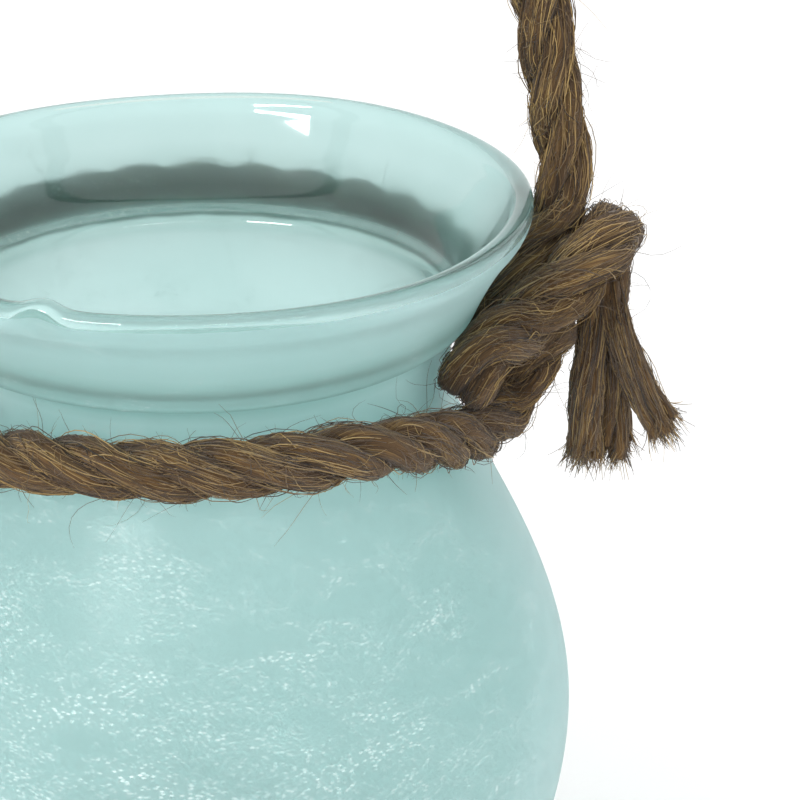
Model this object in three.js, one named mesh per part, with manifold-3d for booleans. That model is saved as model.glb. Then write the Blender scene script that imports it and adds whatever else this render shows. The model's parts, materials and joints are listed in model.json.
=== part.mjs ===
// Hanging lantern: a blown glass jar, a jute rope ring round its neck, a rope handle
// hitched to the ring on both sides, and a tealight standing on the jar's floor.
// Millimetres, +Z up. The origin is the centre of the jar's base. The front is -Y,
// and the two hitches are at +X and -X, each the mirror image of the other.

import * as THREE from 'three';
import { mergeVertices } from 'three/addons/utils/BufferGeometryUtils.js';
import Module from 'manifold-3d';

const wasm = await Module();
wasm.setup();

// ---- Driving dimensions, mm ------------------------------------------------------

const GAP = 0.35; // clearance between pieces that touch

const JAR_HEIGHT = 170; // base to the top of the lip
const BELLY_R = 71; // outer radius at the widest place
const BELLY_Z = 66; // height of the widest place
const BASE_R = 37; // outer radius of the flat foot
const PUNT_R = 24; // radius of the shallow hollow under the base
const PUNT_DEPTH = 1.5;
const PUNT_SLOPE = 2; // width of the slope round the hollow
const WALL = 3;
const FLOOR = 5; // base to the inside floor
const NECK_R = 47.3; // outer radius of the neck
const NECK_LENGTH = 21; // straight part between the shoulder and the collar
const SHOULDER_RUN = 10; // the shoulder's last steep stretch below the neck
const COLLAR_HEIGHT = 18; // collar foot to the lip's edge
const COLLAR_OVERHANG = 5; // how far the collar's foot stands out from the neck
const LIP_FLARE = 9.7; // how far the lip stands out from the collar's foot
const LIP_BEAD = 4; // thickness of the fire-rounded lip

const BASE_TURN = 9; // how far the foot runs out nearly level before the wall rises
const LOWER_FULLNESS = 0.5; // how long the wall stays upright below the belly, as a share
const UPPER_FULLNESS = 0.4; // and above it
const SHOULDER_STEP = 3; // the shoulder's foot outside the neck
const SHOULDER_LEAN_R = 6.3; // the wall's slope into the shoulder: outwards
const SHOULDER_LEAN_Z = 14.6; // and downwards
const NECK_TURN = 4.5; // height in which the neck turns out into the collar's foot
const FOOT_ROLL = 1.7; // how far the rounded foot hangs below the collar's edge
const FOOT_ROLL_WIDTH = 2.8;
const LIP_ROLL = 1.5; // how far the lip's bead stands out from the flare
const MOUTH_TURN = 5; // height in which the collar's inside turns into the neck's

const ROPE_D = 10; // three-strand jute rope
const WRAP_D = 1.14 * ROPE_D; // the same rope where it loosens over the hitch
const STRAND_D = 0.54 * ROPE_D; // one strand of the unlaid tail
const RING_DROP = 11.5; // collar foot down to the ring's centre at the front
const RING_DIP = 13; // how much lower its front half runs towards the hitches
const RING_BACK_DROP = 0.5; // the same drop at the back, where the ring rides up beside the foot
const RING_BACK_DIP = 4; // and its back half's dip towards the hitches
const PIVOT_RISE = 8; // lip edge up to the place where the handle bends over
const HANDLE_RISE = 150; // pivot up to the middle of the handle's top
const OVERSWING_DEG = 10; // how far past level the handle lies down on either side

const CUP_R = 19; // tealight cup
const CUP_HEIGHT = 15;
const CUP_WALL = 0.5;
const CUP_BEVEL = 0.8; // bevel round the cup's foot
const WAX_HEIGHT = 12;
const WAX_BEVEL = 0.5;
const WAX_DIP = 0.4; // the wax sinks round the wick
const WAX_DIP_WIDTH = 3;
const WICK_D = 1.8;
const WICK_LENGTH = 18;
const WICK_TAPER = 0.4;
const SUSTAINER_R = 7;
const SUSTAINER_PLATE = 0.6;
const SUSTAINER_NECK = 3;
const SUSTAINER_WALL = 0.5;

// ---- Places that follow from them ------------------------------------------------

const ROPE_R = ROPE_D / 2;
const WRAP_R = WRAP_D / 2;
const STRAND_R = STRAND_D / 2;
const LIP_Z = JAR_HEIGHT - LIP_BEAD / 2;
const COLLAR_Z = LIP_Z - COLLAR_HEIGHT;
const COLLAR_R = NECK_R + COLLAR_OVERHANG;
const LIP_R = COLLAR_R + LIP_FLARE;
const NECK_Z = COLLAR_Z - NECK_LENGTH;
const RING_Z = COLLAR_Z - RING_DROP;
const RING_BACK_Z = COLLAR_Z - RING_BACK_DROP;
const PIVOT_Z = LIP_Z + PIVOT_RISE;
const CLEARANCE = GAP + 0.1; // a rope's facets from the glass
const HANDLE_X = LIP_R + ROPE_R + CLEARANCE; // the handle's legs just clear the lip

// ---- How finely round things are faceted -----------------------------------------

const JAR_SEGMENTS = 44;
const CUP_SEGMENTS = 32;
const WAX_SEGMENTS = 28;
const SUSTAINER_SEGMENTS = 16;
const WICK_SEGMENTS = 8;
const ROPE_SIDES = 10;
const STRAND_SIDES = 8;
const RING_STEP = 7; // mm between a rope's sections, shorter where it bends more
const HITCH_STEP = 6;
const WRAP_STEP = 5;
const HANDLE_STEP = 11;
const SAME_PLACE = 0.01; // points nearer than this are one point

// ---- Materials -------------------------------------------------------------------

const frostedGlass = new THREE.MeshStandardMaterial({ color: 0xa3d2d2, roughness: 0.45, metalness: 0 });
const jute = new THREE.MeshStandardMaterial({ color: 0x6b5232, roughness: 0.95, metalness: 0 });
const aluminium = new THREE.MeshStandardMaterial({ color: 0xc9ccd0, roughness: 0.35, metalness: 1 });
const wax = new THREE.MeshStandardMaterial({ color: 0xf3efe4, roughness: 0.55, metalness: 0 });
const cotton = new THREE.MeshStandardMaterial({ color: 0xe6dfcc, roughness: 0.9, metalness: 0 });

// ---- Helpers ---------------------------------------------------------------------

const lantern = new THREE.Group();

function addPart(name, geometry, material, parent = lantern) {
  const mesh = new THREE.Mesh(geometry, material);
  mesh.name = name;
  parent.add(mesh);
  return mesh;
}

function outlineOf(...xy) {
  const points = [];
  for (let i = 0; i < xy.length; i += 2) points.push(new THREE.Vector2(xy[i], xy[i + 1]));
  return points;
}

// A cubic curve through four control points or a quadratic one through three, in n runs.
function bezier(n, ...xy) {
  const v = outlineOf(...xy);
  const curve = v.length === 4 ? new THREE.CubicBezierCurve(...v) : new THREE.QuadraticBezierCurve(...v);
  return curve.getPoints(n);
}

function joined(...runs) {
  const all = [];
  for (const p of runs.flat()) {
    if (all.length === 0 || all[all.length - 1].distanceTo(p) > SAME_PLACE) all.push(p);
  }
  return all;
}

function turned(outline, segments) {
  const geometry = new THREE.LatheGeometry(outline, segments);
  geometry.rotateX(Math.PI / 2); // the lathe turns about Y; the lantern stands along Z
  return geometry;
}

function sectionOf(radius, sides) {
  const shape = new THREE.Shape();
  for (let i = 0; i < sides; i++) {
    const a = (2 * Math.PI * i) / sides;
    if (i === 0) shape.moveTo(radius, 0);
    else shape.lineTo(radius * Math.cos(a), radius * Math.sin(a));
  }
  shape.closePath();
  return shape;
}

function ropeAlong(points, radius, step, sides = ROPE_SIDES) {
  const path = new THREE.CatmullRomCurve3(points, false, 'centripetal');
  const steps = Math.max(2, Math.round(path.getLength() / step));
  const options = { steps, bevelEnabled: false, extrudePath: path };
  return new THREE.ExtrudeGeometry(sectionOf(radius, sides), options);
}

function solid(geometry) {
  const bare = geometry.clone();
  bare.deleteAttribute('normal');
  bare.deleteAttribute('uv');
  const merged = mergeVertices(bare, 1e-4);
  const vertProperties = new Float32Array(merged.attributes.position.array);
  const triVerts = new Uint32Array(merged.index.array);
  return new wasm.Manifold(new wasm.Mesh({ numProp: 3, vertProperties, triVerts }));
}

function geometryOf(manifold) {
  const mesh = manifold.getMesh();
  const geometry = new THREE.BufferGeometry();
  geometry.setAttribute('position', new THREE.BufferAttribute(new Float32Array(mesh.vertProperties), 3));
  geometry.setIndex(new THREE.BufferAttribute(new Uint32Array(mesh.triVerts), 1));
  geometry.computeVertexNormals();
  return geometry;
}

// ---- Glass jar -------------------------------------------------------------------

const BODY_RUNS = 9; // straight runs along each long curve of the wall
const BEND_RUNS = 3; // and along each short bend
const FLARE_RUNS = 4;

// One side of the wall from the foot up to the neck, moved inwards by inset and starting
// at height foot.
function bodyLine(inset, foot) {
  const base = BASE_R - inset;
  const belly = BELLY_R - inset;
  const neck = NECK_R - inset;
  const shoulderR = neck + SHOULDER_STEP;
  const shoulderZ = NECK_Z - SHOULDER_RUN / 2;
  const upright = BELLY_Z - LOWER_FULLNESS * (BELLY_Z - foot);
  const closing = BELLY_Z + UPPER_FULLNESS * (shoulderZ - BELLY_Z);
  const baseRise = BASE_TURN / 9;
  return joined(
    bezier(BODY_RUNS, base, foot, base + BASE_TURN, foot + baseRise, belly, upright,
      belly, BELLY_Z),
    bezier(BODY_RUNS, belly, BELLY_Z, belly, closing, shoulderR + SHOULDER_LEAN_R,
      shoulderZ - SHOULDER_LEAN_Z, shoulderR, shoulderZ),
    bezier(BEND_RUNS, shoulderR, shoulderZ, neck, shoulderZ + 0.4 * SHOULDER_RUN,
      neck, shoulderZ + SHOULDER_RUN),
  );
}

// The collar folds out from the neck over a rounded foot and flares up to the lip.
function collarOutside() {
  const rollZ = COLLAR_Z - FOOT_ROLL;
  const rollR = COLLAR_R - FOOT_ROLL_WIDTH;
  const beadR = LIP_R - LIP_ROLL;
  const beadZ = LIP_Z - LIP_BEAD;
  const bowR = COLLAR_R + 0.45 * LIP_FLARE; // the flare bows slightly outwards
  const bowZ = COLLAR_Z + 0.55 * COLLAR_HEIGHT;
  return joined(
    bezier(BEND_RUNS, NECK_R, COLLAR_Z - NECK_TURN, NECK_R, rollZ, rollR, rollZ),
    bezier(BEND_RUNS, rollR, rollZ, COLLAR_R, rollZ, COLLAR_R, COLLAR_Z),
    bezier(FLARE_RUNS, COLLAR_R, COLLAR_Z, bowR, bowZ, beadR, beadZ),
    bezier(BEND_RUNS, beadR, beadZ, LIP_R, LIP_Z - LIP_BEAD / 2, LIP_R, LIP_Z),
  );
}

function lipAndCollarInside() {
  const top = JAR_HEIGHT;
  const crestR = LIP_R - LIP_BEAD / 2;
  const innerLipR = LIP_R - 1.125 * LIP_BEAD;
  const innerLipZ = LIP_Z - LIP_BEAD / 4;
  const innerFootR = COLLAR_R - WALL;
  const innerFootZ = COLLAR_Z + WALL / 2;
  const throatR = NECK_R - WALL;
  const bowR = innerFootR + 0.4 * LIP_FLARE;
  const bowZ = COLLAR_Z + COLLAR_HEIGHT / 2;
  return joined(
    bezier(BEND_RUNS, LIP_R, LIP_Z, LIP_R, top, crestR, top),
    bezier(BEND_RUNS, crestR, top, LIP_R - LIP_BEAD, top, innerLipR, innerLipZ),
    bezier(FLARE_RUNS, innerLipR, innerLipZ, bowR, bowZ, innerFootR, innerFootZ),
    bezier(BEND_RUNS, innerFootR, innerFootZ, throatR, COLLAR_Z - MOUTH_TURN / 5,
      throatR, COLLAR_Z - MOUTH_TURN),
  );
}

const outerLine = joined(bodyLine(0, 0), collarOutside());

const jarOutline = joined(
  outlineOf(0, PUNT_DEPTH, PUNT_R, PUNT_DEPTH, PUNT_R + PUNT_SLOPE, 0),
  outerLine,
  lipAndCollarInside(),
  bodyLine(WALL, FLOOR).reverse(),
  outlineOf(0, FLOOR),
);
addPart('glass_jar', turned(jarOutline, JAR_SEGMENTS), frostedGlass);

// ---- How far out a rope lies against the glass ------------------------------------

// The smallest radius at height z where a rope of radius r clears the jar's outside.
function restRadius(z, r) {
  const reach = r + CLEARANCE;
  const samples = 8;
  let radius = 0;
  for (let i = 1; i < outerLine.length; i++) {
    for (let k = 0; k <= samples; k++) {
      const p = outerLine[i - 1].clone().lerp(outerLine[i], k / samples);
      const rise = Math.abs(p.y - z);
      if (rise < reach) radius = Math.max(radius, p.x + Math.sqrt(reach * reach - rise * rise));
    }
  }
  return radius;
}


// A place in rope radii from the lip's edge beside the hitch, never nearer to the glass
// than a rope of this radius can lie.
function byHitch([x, y, z], radius = ROPE_R) {
  const place = new THREE.Vector3(HANDLE_X + x * ROPE_R, y * ROPE_R, LIP_Z + z * ROPE_R);
  const out = Math.max(1, restRadius(place.z, radius) / Math.hypot(place.x, place.y));
  place.x *= out;
  place.y *= out;
  return place;
}

// ---- Neck ring -------------------------------------------------------------------

// The front half leaves both hitches low down, and the back half higher up.
function ringPoint(angle, radius = ROPE_R, lift = 0) {
  const back = Math.sin(angle) > 0;
  const middle = back ? RING_BACK_Z : RING_Z;
  const dip = back ? RING_BACK_DIP : RING_DIP;
  const z = middle - dip * Math.cos(angle) ** 4 + lift;
  const r = restRadius(z, radius);
  return new THREE.Vector3(r * Math.cos(angle), r * Math.sin(angle), z);
}

const ARM_ANGLE = THREE.MathUtils.degToRad(24); // where the ring leaves the glass
const BIGHT_HALF = ROPE_R + 0.8; // half the width of the bight, to the rope's centre
const RING_ARC_POINTS = 14;

// The place moved out along X, where it has to be, so that the ring clears the standing end.
function besideStandingEnd(place) {
  const room = 2 * ROPE_R + GAP;
  const across = Math.sqrt(Math.max(0, room ** 2 - place.y ** 2));
  place.x = Math.max(place.x, restRadius(place.z, ROPE_R) + across);
  return place;
}

// The bight that the hitch pulls out from the ring, from its front arm to its back arm.
function bight() {
  const side = (0.75 * BIGHT_HALF) / ROPE_R;
  const route = [
    [-2.1, -2.05, -7.6], [-1.25, -1.45, -6.2], [-0.6, -side, -5.65], [-0.3, 0, -5.5],
    [-0.6, side, -5.65], [-1.15, 1.5, -5.9], [-2.0, 2.5, -5.3],
  ];
  return route.map((place) => besideStandingEnd(byHitch(place, ROPE_R + GAP)));
}

const BIGHT_TIP = 3; // the point of the bight farthest from the jar

function mirroredX(points) {
  return points.map((p) => new THREE.Vector3(-p.x, p.y, p.z)).reverse();
}

function ringArc(from, to) {
  const points = [];
  for (let i = 0; i <= RING_ARC_POINTS; i++) {
    points.push(ringPoint(from + ((to - from) * i) / RING_ARC_POINTS));
  }
  return points;
}

// One length of rope. Its two ends butt together inside the left hitch.
function ringPath() {
  const right = bight();
  const left = mirroredX(right);
  const leftTip = left[left.length - 1 - BIGHT_TIP];
  const start = leftTip.clone().setY(-GAP / 2);
  const end = leftTip.clone().setY(GAP / 2);
  return [
    start,
    ...left.slice(left.length - BIGHT_TIP),
    ...ringArc(-Math.PI + ARM_ANGLE, -ARM_ANGLE),
    ...right,
    ...ringArc(ARM_ANGLE, Math.PI - ARM_ANGLE),
    ...left.slice(0, left.length - 1 - BIGHT_TIP),
    end,
  ];
}
addPart('neck_rope', ropeAlong(ringPath(), ROPE_R, RING_STEP), jute);

// ---- Hitches ---------------------------------------------------------------------

// Everything here is the right-hand hitch; the left one mirrors it.

// The handle rope's own end, down inside the bight. It starts where the handle's
// underside still clears it when the handle lies past level.
function standingEnd() {
  const past = THREE.MathUtils.degToRad(OVERSWING_DEG);
  const swungUnderside = (ROPE_R * (1 + Math.sin(past))) / Math.cos(past);
  const top = PIVOT_Z - swungUnderside - GAP;
  const bottom = LIP_Z - 6.4 * ROPE_R;
  const points = [];
  const count = 8;
  for (let i = 0; i <= count; i++) {
    const z = top + ((bottom - top) * i) / count;
    const x = Math.max(restRadius(z, ROPE_R), z > LIP_Z - LIP_BEAD ? HANDLE_X : 0);
    points.push(new THREE.Vector3(x, 0, z));
  }
  return points;
}

const WRAP_ROUTE = [
  [-1.7, -3.05, -4.5], [-0.65, -2.6, -3.2], [0.6, -2.05, -1.9], [1.6, -1.15, -1.15],
  [2.05, 0.1, -1.25], [1.75, 1.15, -2.3], [1.6, 1.2, -3.6], [1.85, 0.75, -4.7],
];

// The turn that lies across the front of the hitch: out from under the collar, up over
// the standing end, round the knob and down behind to the tail.
function hitchWrap() {
  const onRing = ROPE_R + WRAP_R;
  const start = ringPoint(-0.5, WRAP_R, onRing + 2 * GAP);
  const tuck = ringPoint(-0.4, WRAP_R, onRing + 3 * GAP);
  return [start, tuck, ...WRAP_ROUTE.map((p) => byHitch(p, WRAP_R))];
}

// Three unlaid strands of the cut tail, fanning down from the knob.
const TAIL_STRANDS = [
  { name: 'tail_strand_inner', route: [[1.25, -0.35, -5.95], [1.05, -0.9, -8.2], [1.0, -1.2, -10.6]] },
  { name: 'tail_strand_middle', route: [[2.15, 0.55, -5.95], [2.2, 0.0, -8.3], [2.4, -0.5, -11.0]] },
  { name: 'tail_strand_outer', route: [[2.45, -0.75, -5.75], [3.3, -0.95, -7.7], [4.5, -1.1, -9.6]] },
];

function tailStrand(strand) {
  const points = strand.route.map((p) => byHitch(p, STRAND_R));
  return ropeAlong(points, STRAND_R, HITCH_STEP, STRAND_SIDES);
}

for (const side of ['right', 'left']) {
  const hitch = new THREE.Group();
  if (side === 'left') hitch.scale.x = -1;
  lantern.add(hitch);
  addPart(`${side}_standing_end`, ropeAlong(standingEnd(), ROPE_R, HITCH_STEP), jute, hitch);
  addPart(`${side}_hitch_wrap`, ropeAlong(hitchWrap(), WRAP_R, WRAP_STEP), jute, hitch);
  for (const strand of TAIL_STRANDS) {
    addPart(`${side}_${strand.name}`, tailStrand(strand), jute, hitch);
  }
}

// ---- Handle ----------------------------------------------------------------------

// Right leg from the pivot to the top: share of the half span, and share of the rise.
const HANDLE_ROUTE = [
  [1, 0], [0.97, 0.08], [0.936, 0.17], [0.893, 0.27], [0.842, 0.37], [0.782, 0.47], [0.714, 0.57],
  [0.637, 0.665], [0.554, 0.75], [0.463, 0.83], [0.36, 0.9], [0.248, 0.955], [0.126, 0.989],
];

const KNUCKLE_SHARE = 0.93; // the round end of each leg, just inside the rope's surface

function handlePoint([across, up], side) {
  return new THREE.Vector3(side * HANDLE_X * across, 0, PIVOT_Z + HANDLE_RISE * up);
}

function handleRope() {
  const right = HANDLE_ROUTE.map((share) => handlePoint(share, 1));
  const left = HANDLE_ROUTE.map((share) => handlePoint(share, -1)).reverse();
  let rope = solid(ropeAlong([...right, handlePoint([0, 1], 1), ...left], ROPE_R, HANDLE_STEP));
  for (const side of [1, -1]) {
    const knuckle = new THREE.SphereGeometry(KNUCKLE_SHARE * ROPE_R, ROPE_SIDES, STRAND_SIDES);
    knuckle.translate(side * HANDLE_X, 0, PIVOT_Z);
    rope = rope.add(solid(knuckle));
  }
  return geometryOf(rope);
}
addPart('handle_rope', handleRope(), jute);

// ---- Tealight --------------------------------------------------------------------

const tealight = new THREE.Group();
tealight.position.z = FLOOR + GAP;
lantern.add(tealight);

function cup() {
  const inner = CUP_R - CUP_WALL;
  return outlineOf(0, 0, CUP_R - CUP_BEVEL, 0, CUP_R, CUP_BEVEL, CUP_R, CUP_HEIGHT, inner, CUP_HEIGHT,
    inner, CUP_WALL, 0, CUP_WALL);
}

// A small round plate with a neck that grips the wick, on the cup's floor.
const plateZ = CUP_WALL + GAP;
const wickR = WICK_D / 2;
const neckR = wickR + GAP + SUSTAINER_WALL;

function sustainer() {
  const bore = wickR + GAP;
  const plateTop = plateZ + SUSTAINER_PLATE;
  const neckTop = plateTop + SUSTAINER_NECK;
  return outlineOf(bore, plateZ, SUSTAINER_R, plateZ, SUSTAINER_R, plateTop, neckR, plateTop,
    neckR, neckTop, bore, neckTop, bore, plateZ);
}

// The wax fills the cup round the sustainer, and has a bore for the wick.
function waxOutline() {
  const outer = CUP_R - CUP_WALL - GAP;
  const plateTop = plateZ + SUSTAINER_PLATE + GAP;
  const neckTop = plateZ + SUSTAINER_PLATE + SUSTAINER_NECK + GAP;
  const bore = wickR + GAP;
  const top = plateZ + WAX_HEIGHT;
  const sunk = top - WAX_DIP;
  const roomR = neckR + GAP;
  const plateR = SUSTAINER_R + GAP;
  return outlineOf(plateR, plateZ, outer - WAX_BEVEL, plateZ, outer, plateZ + WAX_BEVEL, outer, top,
    bore + WAX_DIP_WIDTH, sunk, bore, sunk, bore, neckTop, roomR, neckTop, roomR, plateTop,
    plateR, plateTop, plateR, plateZ);
}

function wick() {
  const tip = plateZ + WICK_LENGTH;
  return outlineOf(0, plateZ, wickR, plateZ, wickR, tip - WICK_TAPER, wickR - WICK_TAPER, tip, 0, tip);
}

addPart('tealight_cup', turned(cup(), CUP_SEGMENTS), aluminium, tealight);
addPart('tealight_wax', turned(waxOutline(), WAX_SEGMENTS), wax, tealight);
addPart('wick_sustainer', turned(sustainer(), SUSTAINER_SEGMENTS), aluminium, tealight);
addPart('tealight_wick', turned(wick(), WICK_SEGMENTS), cotton, tealight);

export default lantern;
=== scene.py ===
"""A hanging lantern: a blown glass jar, a laid jute rope round its neck, a rope handle tied to
it with a hitch on each side, and a tealight on the jar's floor. Laid out as a Blender add-on
and run as a script. Lengths in the code are millimetres and become metres in make_mesh()."""

import json
import math

import bpy
import numpy as np
from bpy.props import FloatProperty, IntProperty, PointerProperty, StringProperty
from mathutils import Matrix, Vector


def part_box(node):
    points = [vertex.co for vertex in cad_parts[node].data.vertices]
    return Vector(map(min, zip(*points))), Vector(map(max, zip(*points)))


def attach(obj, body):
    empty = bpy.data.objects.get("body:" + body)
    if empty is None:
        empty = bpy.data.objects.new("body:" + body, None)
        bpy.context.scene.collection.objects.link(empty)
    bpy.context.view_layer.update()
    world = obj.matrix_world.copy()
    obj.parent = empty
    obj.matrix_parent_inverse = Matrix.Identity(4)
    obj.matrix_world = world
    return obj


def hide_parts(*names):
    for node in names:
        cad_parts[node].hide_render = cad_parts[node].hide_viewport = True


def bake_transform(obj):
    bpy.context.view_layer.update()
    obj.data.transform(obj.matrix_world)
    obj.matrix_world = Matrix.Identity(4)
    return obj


bl_info = {
    "name": "Hanging Lantern",
    "version": (1, 0, 0),
    "blender": (4, 5, 0),
    "location": "View3D > Sidebar > Lantern",
    "description": "Glass jar lantern with a jute rope handle, built round its packed frame",
    "category": "Add Mesh",
}

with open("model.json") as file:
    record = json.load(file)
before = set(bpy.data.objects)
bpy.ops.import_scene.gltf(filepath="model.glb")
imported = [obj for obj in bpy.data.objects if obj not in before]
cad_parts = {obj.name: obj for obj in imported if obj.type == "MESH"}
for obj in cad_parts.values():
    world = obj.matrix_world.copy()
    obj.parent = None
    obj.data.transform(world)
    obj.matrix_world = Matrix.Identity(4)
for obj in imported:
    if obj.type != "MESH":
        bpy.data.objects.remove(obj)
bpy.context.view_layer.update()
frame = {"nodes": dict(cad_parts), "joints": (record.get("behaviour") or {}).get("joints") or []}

MM = 0.001
PER_M = 1000.0


# ---- Sizes taken from the frame -------------------------------------------------------


def box_mm(node):
    low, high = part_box(node)
    return np.array(low) * PER_M, np.array(high) * PER_M


JAR_HIGH = box_mm("glass_jar")[1]
HANDLE_LOW, HANDLE_HIGH = box_mm("handle_rope")
CUP_LOW, CUP_HIGH = box_mm("tealight_cup")
WAX_LOW, WAX_HIGH = box_mm("tealight_wax")
WICK_HIGH = box_mm("tealight_wick")[1]
SWING = next(joint for joint in frame["joints"] if joint["name"] == "handle_swing")

ROPE_R = (HANDLE_HIGH[1] - HANDLE_LOW[1]) / 2
JAR_HEIGHT = JAR_HIGH[2]
BELLY_R = JAR_HIGH[0]
PIVOT_Z = SWING["pos_m"][2] * PER_M
HANDLE_RISE = HANDLE_HIGH[2] - ROPE_R - PIVOT_Z

# Sizes of the glass that its box doesn't give.
BELLY_Z = 66.0
BASE_R = 37.0
PUNT_R = 24.0
PUNT_DEPTH = 1.5
WALL = 3.0
FLOOR = 5.0
NECK_R = 47.3
NECK_LENGTH = 21.0
SHOULDER_RUN = 10.0
COLLAR_HEIGHT = 18.0
COLLAR_OVERHANG = 5.0
LIP_FLARE = 9.7
LIP_BEAD = 4.0
RING_DROP = 11.5
RING_DIP = 13.0
RING_BACK_DROP = 0.5
RING_BACK_DIP = 4.0
GAP = 0.35
WRAP_R = 5.7

LIP_Z = JAR_HEIGHT - LIP_BEAD / 2
COLLAR_Z = LIP_Z - COLLAR_HEIGHT
COLLAR_R = NECK_R + COLLAR_OVERHANG
LIP_R = COLLAR_R + LIP_FLARE
NECK_Z = COLLAR_Z - NECK_LENGTH
RING_Z = COLLAR_Z - RING_DROP
HANDLE_X = LIP_R + ROPE_R + GAP + 0.1


# ---- Settings -------------------------------------------------------------------------


class LanternGlass(bpy.types.PropertyGroup):
    around: IntProperty(name="Faces around", description="Mesh divisions round the jar", default=288)
    wobble: FloatProperty(name="Wobble", description="How far the hand-blown wall strays from round",
                          default=0.45 * MM, unit="LENGTH")
    body: StringProperty(name="Glass colour", description="Colour of the glass, sRGB hex", default="#c4dad5")
    frost: StringProperty(name="Frost colour", description="Colour of the frosted skin, sRGB hex",
                          default="#cbefef")
    frost_light: StringProperty(name="Paler frost", description="Colour where the frost is paler, sRGB hex",
                                default="#d3f3f3")


class LanternRope(bpy.types.PropertyGroup):
    pitch: FloatProperty(name="Lay", description="Length of one turn of a strand", default=36 * MM,
                         unit="LENGTH")
    handle_pitch: FloatProperty(name="Handle lay", description="Length of one turn of a strand in the handle",
                                default=40 * MM, unit="LENGTH")
    fibres_per_cm: IntProperty(name="Surface fibres", description="Fibres lying on each cm of rope",
                               default=185)
    strays_per_cm: IntProperty(name="Stray fibres", description="Fibres standing off each cm of rope",
                               default=60)
    dark: StringProperty(name="Dark fibre", description="Darkest jute colour, sRGB hex", default="#1b120a")
    mid: StringProperty(name="Middle fibre", description="Usual jute colour, sRGB hex", default="#5a4225")
    light: StringProperty(name="Light fibre", description="Lightest jute colour, sRGB hex", default="#ad9058")


class LanternTealight(bpy.types.PropertyGroup):
    flutes: IntProperty(name="Flutes", description="Pressed flutes round the cup", default=48)
    wax: StringProperty(name="Wax colour", description="Colour of the wax, sRGB hex", default="#f4efe2")
    metal: StringProperty(name="Cup colour", description="Colour of the cup, sRGB hex", default="#d6d8db")


class LanternStage(bpy.types.PropertyGroup):
    distance: FloatProperty(name="Distance", description="Camera to the jar's axis, level", default=0.483,
                            unit="LENGTH")
    rise: FloatProperty(name="Rise", description="Camera above the lip", default=0.173, unit="LENGTH")
    turn: FloatProperty(name="Turn", description="Camera turned to the right", default=math.radians(4.46),
                        subtype="ANGLE")
    pitch: FloatProperty(name="Pitch", description="Camera tipped down", default=math.radians(23.8),
                         subtype="ANGLE")
    roll: FloatProperty(name="Roll", description="Camera rolled", default=math.radians(0.21), subtype="ANGLE")
    lens: FloatProperty(name="Lens", description="Focal length in mm on a 36 mm sensor", default=126.0)
    floor: StringProperty(name="Floor colour", description="Colour of the floor, sRGB hex", default="#fdfdfd")


# ---- Small helpers --------------------------------------------------------------------


def linear(hex_colour, alpha=1.0):
    """An sRGB hex colour as linear red, green, blue and alpha."""
    parts = [int(hex_colour.lstrip("#")[i : i + 2], 16) / 255 for i in (0, 2, 4)]
    return [c / 12.92 if c <= 0.04045 else ((c + 0.055) / 1.055) ** 2.4 for c in parts] + [alpha]


def add(tree, kind, values=None, links=None, **settings):
    """A node with its settings, its socket values and its links."""
    node = tree.nodes.new(kind)
    for name, value in settings.items():
        setattr(node, name, value)
    for name, value in (values or {}).items():
        node.inputs[name].default_value = value
    for name, source in (links or {}).items():
        tree.links.new(source, node.inputs[name])
    return node


def new_material(name):
    """An empty material, its nodes, and the place on the piece that its patterns are read at."""
    material = bpy.data.materials.new(name)
    material.use_nodes = True
    tree = material.node_tree
    tree.nodes.clear()
    return material, tree, add(tree, "ShaderNodeTexCoord").outputs["Object"]


def set_surface(tree, skin):
    add(tree, "ShaderNodeOutputMaterial", links={"Surface": skin.outputs[0]})


def noise(tree, place, scale, detail, roughness=0.5):
    """A cloudy pattern, with scale in features per unit of the place it is read at."""
    values = {"Scale": scale, "Detail": detail, "Roughness": roughness}
    return add(tree, "ShaderNodeTexNoise", values, {"Vector": place}).outputs["Fac"]


def stretched(tree, place, *factors):
    return add(tree, "ShaderNodeVectorMath", {1: factors}, {0: place}, operation="MULTIPLY").outputs[0]


def arithmetic(tree, operation, *operands):
    """One sum on sockets and plain numbers."""
    numbers = {i: x for i, x in enumerate(operands) if isinstance(x, float)}
    sockets = {i: x for i, x in enumerate(operands) if not isinstance(x, float)}
    return add(tree, "ShaderNodeMath", numbers, sockets, operation=operation).outputs[0]


def rescaled(tree, source, start, end, low=0.0, high=1.0):
    """A value carried from the range start to end on to the range low to high, and kept in it."""
    values = {"From Min": start, "From Max": end, "To Min": low, "To Max": high}
    return add(tree, "ShaderNodeMapRange", values, {"Value": source}).outputs[0]


def relief(tree, height, strength, depth):
    """The surface's lean from a height pattern; depth is in mm."""
    values = {"Strength": strength, "Distance": depth * MM}
    return add(tree, "ShaderNodeBump", values, {"Height": height}).outputs["Normal"]


def ramp(tree, source, *stops):
    """A colour ramp: stops are (position, linear colour)."""
    node = add(tree, "ShaderNodeValToRGB", links={"Fac": source})
    elements = node.color_ramp.elements
    while len(elements) < len(stops):
        elements.new(0.5)
    for element, (position, colour) in zip(elements, stops):
        element.position = position
        element.color = colour
    return node.outputs["Color"]


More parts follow.
